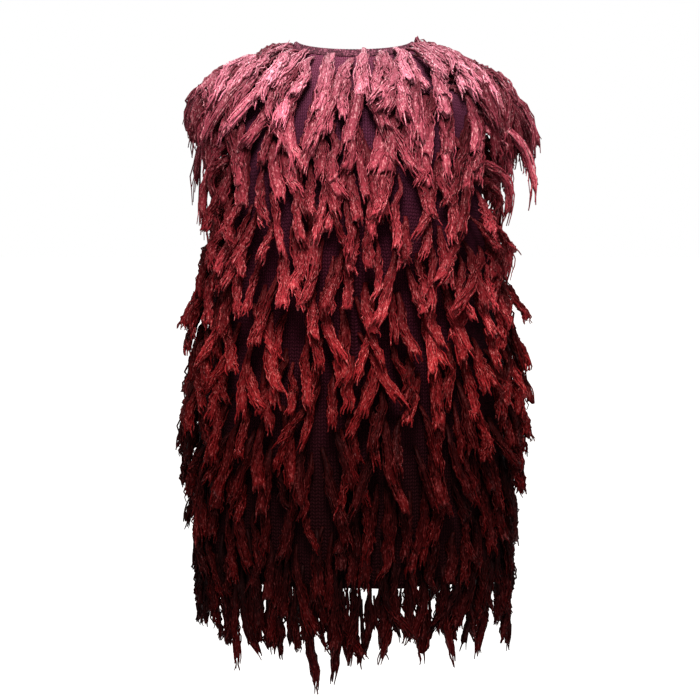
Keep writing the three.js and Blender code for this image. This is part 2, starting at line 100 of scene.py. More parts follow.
# A lock of fringe is a flat crumbly bundle, with loose yarns over it that fray at its tip
BODY = {"rings": 18, "sides": 10, "ridge": 0.12, "crumb": 0.12, "size": 0.88, "closed": 0.04, "reach": 0.97,
        "notch": 0.2, "ragged": 0.10}
YARN = {"rings": 13, "sides": 3, "radius": 0.0013, "crimp": (0.0010, 0.0013), "turn": 2.39996,
        "start": (0.08, 0.4), "end": (0.84, 1.05), "spread": (0.80, 1.12), "size": (0.75, 1.25)}
LOCK = {"width": 0.0118, "depth": 0.0090, "length": 0.084, "yarns": 12, "gap": 0.0205, "sway": 0.0013,
        "swell": 0.0009, "lobe": 0.33, "groove": 0.14, "twist": 0.9, "gather": (0.1, 0.85),
        "parting": (0.35, 1.0)}
FULLNESS = {"at": (0, 0.25, 0.55, 0.8, 1), "share": (0.42, 0.75, 0.92, 1)}
YARN_FULLNESS = {"at": (0, 0.12, 0.85, 1), "share": (0.3, 1, 0.95, 0.55)}
GATHER_FROM = 0.66
TONE_SPREAD = {"lock": 0.22, "yarn": 0.12}

# How the locks of a row differ, and how much darker their colour is painted towards the side seams: painted
# shade, where the body turns away from the light
ROW = {"along": 0.22, "stray_lean": 0.3, "most_lean": 0.5, "bend": 0.13, "full_fan": 0.55,
       "width": (0.65, 1.25), "belly": (0.75, 1.3), "tip": (0.7, 1.25)}
SIDE_SHADE = {"depth": 0.38, "start": 0.45, "over": 0.5}
# How far the root, the belly and the tip of a lock stand off the cloth, by where its row is
LIFT = {"low": (0.002, 0.007, 0.011), "middle": (0.003, 0.013, 0.024), "upper": (0.003, 0.015, 0.029),
        "top": (0.003, 0.010, 0.016), "shoulder": (0.003, 0.015, 0.022), "front_top": (0.003, 0.010, 0.017),
        "hook": (0.003, 0.007, 0.014)}
# A hooked lock starts inside the neck: how much of it, how far down and how far in
HOOK = {"share": 0.14, "down": 0.012, "inward": 0.016}
# The locks round an armhole, and how each of their measures varies; their colour is set darker as painted
# shade, for the shoulders' sides that turn away from the light
ARMHOLE_LOCK = {"width": 0.0132, "sway": 0.018, "lift": 0.003, "tone": 0.27, "tone_spread": 0.12, "bare": 0.2}
ARMHOLE_RANGE = {"width": (0.6, 1.25), "reach": (0.65, 1.3), "drop": (0.75, 1.25), "arch": (0.4, 1.3),
                 "turn": (0.6, 1.0)}


def smooth(t):
    return t * t * (3 - 2 * t)


def unit(vectors):
    return vectors / np.maximum(np.linalg.norm(vectors, axis=-1, keepdims=True), 1e-12)


# Surfaces of the cut


def section_at(z):
    """Half width, both depths and squareness at each height, on a smooth curve through the table."""
    heights, table = SECTIONS[:, 0], SECTIONS[:, 1:]
    last = len(heights) - 1
    rows = np.arange(last + 1)
    after, before = np.minimum(rows + 1, last), np.maximum(rows - 1, 0)
    slopes = (table[after] - table[before]) / (heights[after] - heights[before])[:, None]
    low = np.clip(np.searchsorted(heights, z, side="right") - 1, 0, last - 1)
    span = heights[low + 1] - heights[low]
    t = np.clip((z - heights[low]) / span, 0, 1)[..., None]
    span = span[..., None]
    stay = 2 * t**3 - 3 * t**2 + 1
    return (
        stay * table[low]
        + (t**3 - 2 * t**2 + t) * slopes[low] * span
        + (1 - stay) * table[low + 1]
        + (t**3 - t**2) * slopes[low + 1] * span
    )


def edge_reach(side, z):
    """How far a panel's edge lies from the side seam: the seam's gap below the arm, an oval above it."""
    turn = np.arccos(np.clip(1 - 2 * (z - UNDERARM_Z) / (SHOULDER[2] - UNDERARM_Z), -1, 1))
    oval = ARMHOLE_REACH[side] * np.sin(turn)
    return np.where(z <= UNDERARM_Z, SEAM_GAP / 2, np.maximum(SEAM_GAP / 2, oval))


def open_half(z):
    """How far a front edge lies from the middle at each height."""
    neck_z = NECK_CENTRE["front"][1]
    t = np.clip((z - neck_z) / (HEM_Z - neck_z), 0, 1)
    return OPEN_HALF["neck"] + (OPEN_HALF["hem"] - OPEN_HALF["neck"]) * t


def body_points(side, shares, z):
    """Points of the cloth below the roll, for arrays of shares and heights of one shape."""
    z = np.broadcast_to(z, shares.shape).astype(float)
    section = section_at(z)
    half_width, depth, square = section[..., 0], section[..., SECTION_DEPTH[side]], section[..., 3]
    power = 2 / square
    edge_angle = np.arcsin((edge_reach(side, z) / depth) ** (1 / power))
    centre_x = open_half(z) if side == "front" else 0 * z
    centre_angle = np.arccos((centre_x / half_width) ** (1 / power))
    angle = centre_angle + (edge_angle - centre_angle) * shares
    drop = smooth(np.clip((z - DRAPE["start_z"]) / (HEM_Z - DRAPE["start_z"]), 0, 1))
    wave = 1 + DRAPE["depth"] / half_width * drop * np.cos(2 * DRAPE["waves"] * angle)
    x = half_width * np.clip(np.cos(angle), 0, 1) ** power * wave
    y = np.maximum(SEAM_GAP / 2, depth * np.clip(np.sin(angle), 0, 1) ** power * wave)
    return np.stack([x, FACING[side] * y, z], -1)


def top_points(side, shares):
    """The panel's top edge: along the neck up to NECK_END, then along the shoulder seam."""
    seam_y = FACING[side] * SEAM_GAP / 2
    centre_y, centre_z = NECK_CENTRE[side]
    turn = np.clip(shares / NECK_END, 0, 1) * math.pi / 2
    start_x = OPEN_HALF["neck"] if side == "front" else 0
    dip = np.clip(np.cos(turn), 0, 1)
    neck_x = start_x + (NECK_HALF_WIDTH - start_x) * np.sin(turn)
    neck = np.stack([neck_x, seam_y + (centre_y - seam_y) * dip, centre_z * dip**NECK_CURVE], -1)
    out = np.clip((shares - NECK_END) / (1 - NECK_END), 0, 1)
    shoulder_x = NECK_HALF_WIDTH + (SHOULDER[0] - NECK_HALF_WIDTH) * out
    shoulder = np.stack([shoulder_x, SHOULDER[1] * out + seam_y, SHOULDER[2] * out**SHOULDER_CURVE], -1)
    return np.where((shares < NECK_END)[..., None], neck, shoulder)


def arrivals(side, shares):
    """The way in which each column arrives at the top edge."""
    centre, corner, tip = np.array(ROLLS[side]["arrival"], float)
    t = (shares / NECK_END)[..., None]
    at_neck = centre + (corner - centre) * t
    t = smooth(np.clip(SHOULDER_TURN * (shares - NECK_END) / (1 - NECK_END), 0, 1))[..., None]
    at_shoulder = corner + (tip - corner) * t
    return unit(np.where((shares < NECK_END)[..., None], at_neck, at_shoulder))


def roll_points(side, shares, t):
    """Points where the cloth rolls in over the shoulder or up to the neck, t from 0 to 1."""
    roll = ROLLS[side]
    start = body_points(side, shares, roll["z"])
    leave = unit(start - body_points(side, shares, roll["z"] - LEAVING_STEP))
    end = top_points(side, shares)
    first = start + leave * roll["start"]
    second = end - arrivals(side, shares) * roll["end"]
    s = 1 - t
    return s**3 * start + 3 * s * s * t * first + 3 * s * t * t * second + t**3 * end


class Panel:
    """A panel as a fine grid of points, which can be looked up by share and by distance above the hem."""

    def __init__(self, side, hand=1):
        self.side, self.hand = side, hand
        first = -1 if side == "back" else 0
        self.shares = np.linspace(first, 1, COLUMNS_PER_HALF * (1 - first) + 1)
        away = np.abs(self.shares)
        roll_z = ROLLS[side]["z"]
        heights = np.linspace(HEM_Z, roll_z, round((roll_z - HEM_Z) / BODY_STEP) + 1)
        turns = np.linspace(0, 1, ROLL_STEPS + 1)[1:]
        rows = [body_points(side, away, z) for z in heights] + [roll_points(side, away, t) for t in turns]
        self.points = np.stack(rows, 1)
        self.points[..., 0] *= (np.where(self.shares < 0, -1, 1) * hand)[:, None]
        up = np.gradient(self.points, axis=1)
        across = np.gradient(self.points, axis=0)
        normals = np.cross(up, across)
        normals *= np.sign((normals * [0, 1, 0.4]).sum() * FACING[side])
        self.normals = unit(normals)
        steps = np.linalg.norm(np.diff(self.points, axis=1), axis=-1)
        self.arcs = np.concatenate([np.zeros((len(self.shares), 1)), np.cumsum(steps, 1)], 1)
        self.levels = np.concatenate([np.linspace(0, 1, len(heights)), 1 + turns])
        self.even = np.arange(0, self.arcs.max() + BODY_STEP, BODY_STEP)
        self.by_arc = self.resampled(self.points)
        self.normal_by_arc = self.resampled(self.normals)
        widths = np.linalg.norm(np.diff(self.by_arc, axis=0), axis=-1)
        reach = np.concatenate([np.zeros((1, widths.shape[1])), np.cumsum(widths, 0)])
        self.reach_by_arc = (reach - reach[len(self.shares) // 2 if first < 0 else 0])[..., None]

    def resampled(self, grid):
        """The same columns with their points an even distance apart, the last one repeated past the top."""
        return np.stack(
            [np.stack([np.interp(self.even, arc, values) for values in column.T], -1)
             for arc, column in zip(self.arcs, grid)]
        )

    def arc_at(self, shares, level):
        """The distance above the hem of a level: 0 to 1 up the body, 1 to 2 up the roll."""
        by_column = np.array([np.interp(level, self.levels, arc) for arc in self.arcs])
        return np.interp(shares, self.shares, by_column)

    def look_up(self, grid, shares, arcs):
        """What a grid holds at each share and distance above the hem, between its four nearest points."""
        column = (np.clip(shares, self.shares[0], 1) - self.shares[0]) * COLUMNS_PER_HALF
        row = np.clip(arcs, 0, self.even[-1]) / BODY_STEP
        c = np.minimum(column.astype(int), grid.shape[0] - 2)
        r = np.minimum(row.astype(int), grid.shape[1] - 2)
        s, t = (column - c)[..., None], (row - r)[..., None]
        low = grid[c, r] * (1 - s) + grid[c + 1, r] * s
        high = grid[c, r + 1] * (1 - s) + grid[c + 1, r + 1] * s
        return low * (1 - t) + high * t

    def place(self, shares, arcs):
        """Points and normals. Past a side the cloth goes on straight, past the hem or the top upright."""
        points = self.look_up(self.by_arc, shares, arcs)
        normals = unit(self.look_up(self.normal_by_arc, shares, arcs))
        points[..., 2] += np.minimum(arcs, 0) + np.maximum(arcs - self.arc_at(shares, 2), 0)
        for edge, inward in ((1, -EDGE_STEP), (self.shares[0], EDGE_STEP)):
            past = np.where(edge > self.shares[0], np.maximum(shares - edge, 0), np.minimum(shares - edge, 0))
            at_edge = self.look_up(self.by_arc, np.full_like(shares, edge), arcs)
            inside = self.look_up(self.by_arc, np.full_like(shares, edge + inward), arcs)
            points += (at_edge - inside) * (past / -inward)[..., None]
        return points, normals

    def share_at(self, reach, arcs, guess):
        """The shares at a given distance from the centre line, measured along the cloth, near a guess."""
        shares = guess
        for _ in range(3):
            now = self.look_up(self.reach_by_arc, shares, arcs)[..., 0]
            past = shares - np.clip(shares, self.shares[0], 1)
            per_share = self.width_per_share(shares, arcs)
            shares = shares + np.clip((reach - now - past * per_share) / per_share, -0.3, 0.3)
        return shares

    def width_per_share(self, shares, arcs):
        """How much cloth lies across one whole share, at each place."""
        shares = np.clip(shares, self.shares[0], 1)
        ahead, behind = np.minimum(shares + 0.02, 1), np.maximum(shares - 0.02, self.shares[0])
        step = self.look_up(self.by_arc, ahead, arcs) - self.look_up(self.by_arc, behind, arcs)
        return np.maximum(np.linalg.norm(step, axis=-1), 1e-4) / (ahead - behind)


# Meshes


def made_piece(name, points, quads, material, triangles=np.zeros((0, 3), int), **values):
    """A smooth-shaded mesh object from points and faces, with a number or a vector for each point by name."""
    mesh = bpy.data.meshes.new(name)
    mesh.vertices.add(len(points))
    mesh.vertices.foreach_set("co", np.asarray(points, np.float32).ravel())
    corners = np.concatenate([quads.ravel(), triangles.ravel()])
    mesh.loops.add(len(corners))
    mesh.loops.foreach_set("vertex_index", corners.astype(np.int32))
    starts = np.concatenate([np.arange(len(quads)) * 4, quads.size + np.arange(len(triangles)) * 3])
    mesh.polygons.add(len(starts))
    mesh.polygons.foreach_set("loop_start", starts.astype(np.int32))
    mesh.update(calc_edges=True)
    mesh.shade_smooth()
    for key, numbers in values.items():
        flat = np.asarray(numbers, np.float32)
        kind, slot = ("FLOAT", "value") if flat.ndim == 1 else ("FLOAT_VECTOR", "vector")
        mesh.attributes.new(key, kind, "POINT").data.foreach_set(slot, flat.ravel())
    mesh.materials.append(material)
    piece = bpy.data.objects.new(name, mesh)
    bpy.context.scene.collection.objects.link(piece)
    return piece


def dress(piece, nodes):
    """Fixes a piece to the body and hides the solids that it stands for."""
    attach(piece, "root")
    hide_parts(*nodes)
    return piece


def grid_quads(columns, rows, start=0, closed=False):
    """Faces of a grid of points numbered column by column. A closed grid joins its last row to its first."""
    c, r = np.meshgrid(np.arange(columns - 1), np.arange(rows if closed else rows - 1), indexing="ij")
    up = (r + 1) % rows
    corners = np.stack([c * rows + r, (c + 1) * rows + r, (c + 1) * rows + up, c * rows + up], -1)
    return corners.reshape(-1, 4) + start


def ring_of_cloth(outer, normals, edge_round):
    """A wall of cloth as closed rings, one a column: up its outside, over its edge, down its inside."""
    inner = outer - normals * WALL
    up = unit(np.gradient(outer, axis=1))
    middle = (outer + inner) / 2
    over = middle[:, -1:] + up[:, -1:] * edge_round
    under = middle[:, :1] - up[:, :1] * edge_round
    return np.concatenate([outer, over, inner[:, ::-1], under], 1)


def panel_piece(name, panel, material, nodes):
    """A panel as one closed wall of knit, with a rounded rim along both its sides."""
    rings = ring_of_cloth(panel.points, panel.normals, EDGE_ROUND)
    columns, around = rings.shape[:2]
    rows = panel.points.shape[1]
    quads = [grid_quads(columns, around, closed=True)]
    across = unit(np.gradient(rings[:, :rows], axis=0))
    middle = (panel.points + rings[:, rows + 1 : 2 * rows + 1][:, ::-1]) / 2
    points = [rings.reshape(-1, 3)]
    count = columns * around
    r = np.arange(rows - 1)
    for column, way in ((0, -1), (columns - 1, 1)):
        rim = middle[column] + across[column] * EDGE_ROUND * way
        outside = column * around + np.arange(rows)
        inside = column * around + 2 * rows - np.arange(rows)
        rim_at = count + np.arange(rows)
        points.append(rim)
        for a, b in ((outside, rim_at), (rim_at, inside)):
            side = np.stack([a[r], b[r], b[r + 1], a[r + 1]], -1)
            quads.append(side if way > 0 else side[:, ::-1])
        top, bottom = column * around + rows, column * around + 2 * rows + 1
        ends = [(outside[-1], rim_at[-1], inside[-1], top), (rim_at[0], outside[0], bottom, inside[0])]
        ends = np.array(ends)
        quads.append(ends if way > 0 else ends[:, ::-1])
        count += rows
    quads = np.concatenate(quads)
    points = np.concatenate(points)
    wales = np.repeat(panel.shares[:, None] * WALES_PER_HALF, around, 1)
    arcs = panel.arcs / COURSE
    courses = np.concatenate([arcs, arcs[:, -1:], arcs[:, ::-1], arcs[:, :1]], 1)
    wales = np.concatenate([wales.ravel(), np.full(rows, wales[0, 0]), np.full(rows, wales[-1, 0])])
    courses = np.concatenate([courses.ravel(), arcs[0], arcs[-1]])
    if signed_volume(points, quads) < 0:
        quads = quads[:, ::-1]
    piece = made_piece(name, points, quads, material, wale=wales, course=courses)
    return dress(piece, nodes)


def signed_volume(points, quads):
    """The volume that closed faces hold, below zero where they look inwards."""
    a, b, c, d = (points[quads[:, k]] for k in range(4))
    return ((np.cross(b, c) * a).sum() + (np.cross(c, d) * a).sum()) / 6


# The band on the neck edge


def band_piece(back, left, right, material):
    """A ribbed tube of knit that stands on the neck edge, from one front edge round the back to the other."""
    corner = COLUMNS_PER_HALF // 2
    over_back = slice(COLUMNS_PER_HALF + corner, COLUMNS_PER_HALF - corner, -1)
    pieces = [(left, slice(0, corner)), (back, over_back), (right, slice(corner, None, -1))]
    path = np.concatenate([panel.points[cut, -1] for panel, cut in pieces])
    rise = np.concatenate([unit(panel.points[cut, -1] - panel.points[cut, -3]) for panel, cut in pieces])
    outward = np.concatenate([panel.normals[cut, -1] for panel, cut in pieces])
    rise[:, 2] += BAND["standing"]
    spread = BAND["smoothing"]
    weights = np.hanning(2 * spread + 3)[1:-1]
    weights /= weights.sum()
    soft = [np.pad(v, ((spread, spread), (0, 0)), mode="edge") for v in (rise, outward)]
    rise, outward = (np.stack([np.convolve(v[:, k], weights, "valid") for k in range(3)], -1) for v in soft)
    length = np.concatenate([[0], np.cumsum(np.linalg.norm(np.diff(path, axis=0), axis=-1))])
    stations = np.linspace(0, length[-1], round(length[-1] / BAND["rib"] * BAND["steps_per_rib"]))
    path, rise, outward = (
        np.stack([np.interp(stations, length, v[:, k]) for k in range(3)], -1) for v in (path, rise, outward)
    )
    run = unit(np.gradient(path, axis=0))
    rise = unit(rise - run * (rise * run).sum(-1, keepdims=True))
    away = np.cross(run, rise)
    away *= np.sign((away * outward).sum(-1, keepdims=True))
    rib = np.cos(2 * math.pi * stations / BAND["rib"])[:, None]
    turn = np.linspace(0, 2 * math.pi, BAND["around"], endpoint=False)
    tall, thick = BAND["height"] - BAND["gap"], BAND["thickness"]
    oval = BAND["squareness"]
    across = np.sign(np.sin(turn)) * np.abs(np.sin(turn)) ** oval * thick / 2
    along = -np.sign(np.cos(turn)) * np.abs(np.cos(turn)) ** oval * tall / 2
    swell = 1 + BAND["relief"] / (thick / 2) * rib
    chain = BAND["chain"] * -rib * np.maximum(along, 0) / tall
    height = BAND["gap"] + tall / 2 + along + chain
    points = (
        path[:, None]
        + rise[:, None] * height[..., None]
        + away[:, None] * (across * swell - (thick - WALL) / 2)[..., None]
    )
    count, around = points.shape[:2]
    quads = grid_quads(count, around, closed=True)
    half = around // 2
    ends = []
    for start, way in ((0, 1), ((count - 1) * around, -1)):
        for k in range(half - 1):
            face = [start + k, start + k + 1, start + around - 2 - k, start + around - 1 - k]
            ends.append(face[::way])
    quads = np.concatenate([quads, np.array(ends)])
    points = points.reshape(-1, 3)
    if signed_volume(points, quads) < 0:
        quads = quads[:, ::-1]
    return dress(made_piece("band", points, quads, material), ["neck_band"])


# Fringe


def knotted(values, u):
    """Values along each lock, smooth between even knots. `u` has locks, rows and columns."""
    knots = values.shape[1]
    place = np.clip(u, 0, 1) * (knots - 1)
    low = np.minimum(place.astype(int), knots - 2)
    lock = np.arange(len(values))[:, None, None]
    t = smooth(place - low)
    return values[lock, low] * (1 - t) + values[lock, low + 1] * t


def fringe_locks(rng, place, width, depth, yarns, flare=1.12, body=BODY, lit=0.5, bare=0.0):
    """A row of locks as two sets of tubes, the bodies and the yarns over them.

    `place` gives points, outward and sideways directions for shares of the locks' length, of shape
    (locks, rows, columns). `lit` is the locks' mean depth of colour, lowered at the sides and round the
    armholes as painted shade, and `bare` the share of painted root shade that roots are spared.
    """
    locks = len(width)
    of_lock = (locks, 1, 1)
    half_width, half_depth = width[:, None, None] / 2, depth / 2
    twist = rng.uniform(-LOCK["twist"], LOCK["twist"], of_lock)
    gathers = rng.uniform(*LOCK["gather"], of_lock)
    parting = rng.uniform(*LOCK["parting"], of_lock) * flare
    number = rng.uniform(0, 90, of_lock)
    sways = rng.normal(0, LOCK["sway"], (locks, 6))
    swells = rng.normal(0, LOCK["swell"], (locks, 6))
    # Each lock's random depth of colour about `lit`, which is lowered at the sides and round the armholes as
    # painted shade
    tone = np.clip(np.reshape(lit, (-1, 1, 1)) + TONE_SPREAD["lock"] * rng.normal(size=of_lock), 0, 1)

    def laid(u, turn, size, sideways_crimp=0, outward_crimp=0):
        """Points round the locks' centre lines, drawn together in three lobes towards the tip."""
        point, out, side = place(u)
        spread = np.interp(u, FULLNESS["at"], (*FULLNESS["share"], flare)) * size
        across = np.cos(turn + twist * u) * half_width * spread + sideways_crimp
        outward = np.sin(turn + twist * u) * half_depth * spread + outward_crimp
        lobe = np.floor(np.clip((np.cos(turn + twist) + 1) * 1.5, 0, 2.99)) - 1
        gather = smooth(np.clip((u - GATHER_FROM) / (1 - GATHER_FROM), 0, 1)) * gathers
        across = across + (lobe * half_width * parting - across) * gather
        across = across + knotted(sways, u)
        outward = outward + knotted(swells, u)
        return point + side * across[..., None] + out * outward[..., None], out

    rings, sides = body["rings"], body["sides"]
    turn = np.arange(sides) * 2 * math.pi / sides + rng.uniform(0, 6.3, of_lock)
    from_groove = (np.abs(np.cos(turn + twist)) - LOCK["lobe"]) / LOCK["groove"]
    notch = np.exp(-(from_groove**2)) * rng.uniform(0, body["notch"], of_lock)
    reach = body["reach"] - notch - body["ragged"] * rng.random((locks, 1, sides)) ** 1.5
    along = np.concatenate([[0], np.linspace(0, 1, rings - 2) ** 0.8, [0.93]])[None, :, None]
    u = along * reach
    ridges = ridged(rng, locks, sides, body["ridge"], along[0, :, 0])
    size = 1 + ridges + rng.normal(0, body["crumb"], (locks, rings, sides))
    size = size * body["size"]
    size[:, [0, -1]] = body["closed"]
    points, _ = laid(u, turn, size)
    bodies = {
        "points": points,
        "tone": np.broadcast_to(tone, points.shape[:3]),
        # From root to tip, raised at the roots by `bare`: it sets the painted root shade in the yarn finish
        "along": bare + (1 - bare) * u,
        "fibre": fibres(turn, u, number),
    }

    rings = YARN["rings"]
    column = (locks, yarns, 1)
    start = rng.uniform(*YARN["start"], column)
    ends = rng.uniform(*YARN["end"], column)
    u = start + (ends - start) * np.linspace(0, 1, rings)
    turn = (np.arange(yarns) * YARN["turn"])[None, :, None] + rng.uniform(0, 6.3, of_lock)
    crimps = [amount * rng.normal(size=(locks, yarns, rings)) for amount in YARN["crimp"]]
    centre, out = laid(u, turn, rng.uniform(*YARN["spread"], column), *crimps)
    tangent = unit(np.gradient(centre, axis=2))
    out = unit(out - tangent * (out * tangent).sum(-1, keepdims=True))
    side = np.cross(tangent, out)
    thick = np.interp(np.linspace(0, 1, rings), YARN_FULLNESS["at"], YARN_FULLNESS["share"])
    thick = (YARN["radius"] * rng.uniform(*YARN["size"], column) * thick)[..., None]
    turns = np.arange(YARN["sides"]) * -2 * math.pi / YARN["sides"]
    points = np.stack([centre + (out * math.cos(t) + side * math.sin(t)) * thick for t in turns], 3)
    points = points.reshape(locks * yarns, rings, YARN["sides"], 3)
    own_tone_and_painted_shade = np.clip(tone + TONE_SPREAD["yarn"] * rng.normal(size=column), 0, 1)
    loose = {
        "points": points,
        "tone": np.broadcast_to(own_tone_and_painted_shade.reshape(-1, 1, 1), points.shape[:3]),
        "along": bare + (1 - bare) * np.broadcast_to(u.reshape(-1, rings, 1), points.shape[:3]),
        "fibre": fibres(turn, u, number).reshape(-1, rings, 1, 3).repeat(YARN["sides"], 2),
    }
    return [bodies, loose]


def fibres(turn, u, number):
    """Where each point lies in its lock: round it and along it, apart from all other locks."""
    return np.stack(np.broadcast_arrays(2.6 * np.cos(turn), 2.6 * np.sin(turn), 5 * u + number), -1)


def ridged(rng, locks, sides, depth, along):
    """Ridges that run down a lock's body, each with its own swells."""
    knots = rng.normal(0, depth, (locks * sides, 5))
    u = np.broadcast_to(along, (locks * sides, 1, len(along)))
    return knotted(knots, u).reshape(locks, sides, len(along)).transpose(0, 2, 1)


def fringe_piece(name, rows, material, nodes):
    """One mesh of closed tubes: all the bodies and yarns in the rows of locks."""
    points, quads, triangles, tones_and_painted_shade, shares, fibre = [], [], [], [], [], []
    count = 0
    for tubes in (tubes for row in rows for tubes in row):
        number, rings, sides = tubes["points"].shape[:3]
        starts = count + (np.arange(number) * rings * sides)[:, None, None]
        quads.append((grid_quads(rings, sides, closed=True)[None, :, ::-1] + starts).reshape(-1, 4))
        k = np.arange(1, sides - 1)
        first = np.stack([0 * k, k + 1, k], -1)
        last = np.stack([0 * k, k, k + 1], -1) + (rings - 1) * sides
        triangles.append((np.concatenate([first, last])[None] + starts).reshape(-1, 3))
        points.append(tubes["points"].reshape(-1, 3))
        tones_and_painted_shade.append(tubes["tone"].ravel())
        shares.append(tubes["along"].ravel())
        fibre.append(tubes["fibre"].reshape(-1, 3))
        count += number * rings * sides
    points, quads, triangles, tones_and_painted_shade, shares, fibre = [
        np.concatenate(parts) for parts in (points, quads, triangles, tones_and_painted_shade, shares, fibre)
    ]
    piece = made_piece(name, points, quads, material, triangles, tone=tones_and_painted_shade, along=shares, fibre=fibre)
    return dress(piece, nodes)


def row_on_panel(rng, panel, level=None, arc=None, shares=(-1, 1), gap=LOCK["gap"], length=LOCK["length"],
                 lift=LIFT["middle"], fan=0.0, width=LOCK["width"], yarns=LOCK["yarns"], lean=0.11,
                 spread=(0.68, 1.20), flare=1.15, body=BODY, stray=0.14, lit=0.5, bare=0.0, phase=0.0,
                 jitter=0.013, taper=0.0, spots=None, hook=None):
    """One row of locks on a panel, across the given shares at a level or a distance above the hem.

    The spots are shares for single locks. Hooked locks start inside the band, go over it at a height and
    hang down outside. The lift is how far the root, the belly and the tip stand off the cloth.
    """
    fine = np.linspace(*shares, 200)
    arcs = panel.arc_at(fine, level) if arc is None else np.full(200, arc)
    points, _ = panel.place(fine, arcs)
    run = np.concatenate([[0], np.cumsum(np.linalg.norm(np.diff(points, axis=0), axis=-1))])
    if spots is None:
        count = max(2, round(run[-1] / gap))
        along = np.arange(count) + 0.5 + phase + rng.uniform(-ROW["along"], ROW["along"], count)
        share = np.interp(along / count * run[-1], run, fine)
        root = np.interp(share, fine, arcs) + rng.normal(0, jitter, count)
    else:
        share = np.array(spots)
        count = len(share)
        root = np.interp(share, fine, arcs) + (0 if hook is None else np.array(hook))
    lengths = length * rng.uniform(*spread, count) * (1 - taper * np.abs(share) ** 3)
    angle = rng.normal(0, lean, count) + fan * np.clip(share / ROW["full_fan"], -1, 1)
    angle += np.where(rng.random(count) < stray, rng.normal(0, ROW["stray_lean"], count), 0)
    angle = np.clip(angle, -ROW["most_lean"], ROW["most_lean"])
    bend = rng.normal(0, ROW["bend"], count)
    reach = panel.look_up(panel.reach_by_arc, share, root)[..., 0]
    # Painted shade: the locks' colour is darker towards the side seams, where the body turns away from the
    # light
    sideways = np.clip((np.abs(share) - SIDE_SHADE["start"]) / SIDE_SHADE["over"], 0, 1)
    lit = lit - SIDE_SHADE["depth"] * smooth(sideways)
    low, belly, tip = lift
    belly = belly * rng.uniform(*ROW["belly"], count)
    tip = tip * rng.uniform(*ROW["tip"], count)

    def place(u):
        column = [v[:, None, None] for v in (share, root, lengths, angle, bend, reach, belly, tip)]
        s, r, long, turn, curve, away, mid, end = column
        across = long * (np.sin(turn) * u + curve * u**2)
        start = np.maximum(1 - u / HOOK["share"], 0) if hook is not None else 0 * u
        arcs = r - long * np.cos(turn) * u - HOOK["down"] * start**2
        shares = panel.share_at(away + across, arcs, s + 0 * u)
        point, out = panel.place(shares, arcs)
        nearby, _ = panel.place(shares + 0.01, arcs)
        side = unit(nearby - point)
        raised = low + (mid - low) * np.sin(np.clip(u / 0.35, 0, 1) * math.pi / 2)
        raised = raised + (end - mid) * smooth(np.clip((u - 0.2) / 0.8, 0, 1)) - HOOK["inward"] * start
        return point + out * raised[..., None], out, side

    widths = width * rng.uniform(*ROW["width"], count)
    return fringe_locks(rng, place, widths, LOCK["depth"], yarns, flare, body, lit, bare)


def armhole_locks(rng, back, front, hand, count, reach, drop, inner, arch, ends, first=0.78):
    """Locks round the top of an armhole, over the shoulder from back to front, which fall outwards.

    `inner` is the share at which they start, `first` the level, and `ends` how much of their reach is left
    at the low ends of the round.
    """
    spine, normals = [], []
    for panel, levels in ((back, np.linspace(first, 2, 30)), (front, np.linspace(2, first, 30)[1:])):
        share = inner * (hand if panel.side == "back" else 1)
        for level in levels:
            at = np.array([share])
            point, normal = panel.place(at, panel.arc_at(at, level))
            spine.append(point[0])
            normals.append(normal[0])
    spine, normals = np.array(spine), np.array(normals)
    run = np.concatenate([[0], np.cumsum(np.linalg.norm(np.diff(spine, axis=0), axis=-1))])
    spots = (np.arange(count) + 0.5 + rng.uniform(-0.3, 0.3, count)) / count * run[-1]

    def pick(values):
        """The values at the locks' roots."""
        return np.stack([np.interp(spots, run, values[:, k]) for k in range(3)], -1)

    root, normal = pick(spine), unit(pick(normals))
    way = unit(pick(np.gradient(spine, axis=0)))
    out = unit(np.cross(normal, way))
    out *= np.sign(out[:, :1] * hand)
    out[:, 2] = np.minimum(out[:, 2], 0)
    high = smooth(np.clip((root[:, 2] - spine[:, 2].min()) / np.ptp(spine[:, 2]), 0, 1))
    out_by = reach * rng.uniform(*ARMHOLE_RANGE["reach"], count) * (ends + (1 - ends) * high)
    down_by = drop * rng.uniform(*ARMHOLE_RANGE["drop"], count)
    arch = arch * rng.uniform(*ARMHOLE_RANGE["arch"], count) * (0.3 + 0.7 * high)
    sway = rng.normal(0, ARMHOLE_LOCK["sway"], count)
    last_turn = rng.uniform(*ARMHOLE_RANGE["turn"], count) * math.pi / 2

    def place(u):
        far, fall, rise, wander, bent = [v[:, None, None] for v in (out_by, down_by, arch, sway, last_turn)]
        swing = (0.35 + 0.65 * u) * u * bent
        vectors = [v[:, None, None, :] for v in (root, out, normal, way)]
        base, outward, up, along = vectors
        point = base + outward * (far * np.sin(swing))[..., None]
        lifted = ARMHOLE_LOCK["lift"] + rise * np.sin(swing / bent * math.pi)
        point = point + up * lifted[..., None] + along * (wander * u**2)[..., None]
        point[..., 2] -= fall * (1 - np.cos(swing))
        t = smooth(u)[..., None]
        sideways = np.array([hand, 0.0, 0.0])
        normal_there = unit(up * (1 - t) + sideways * t)
        side = unit(along * (1 - t) + np.array([0.0, -1.0, 0.0]) * t)
        return point, normal_there, side

    widths = ARMHOLE_LOCK["width"] * rng.uniform(*ARMHOLE_RANGE["width"], count)
    # Painted shade: the armhole locks' colour is set darker than the back's
    lit = ARMHOLE_LOCK["tone"] + ARMHOLE_LOCK["tone_spread"] * rng.normal(size=count)
    return fringe_locks(rng, place, widths, LOCK["depth"], LOCK["yarns"], lit=lit, bare=ARMHOLE_LOCK["bare"])


# Finishes


def operator(operation, swapped=False):
    """A method that puts a math node on what it is called with, in this order or swapped."""

    def method(self, *others):
        inputs = (*others, self) if swapped else (self, *others)
        return self.finish.node("ShaderNodeMath", {"operation": operation}, dict(enumerate(inputs)))

    return method


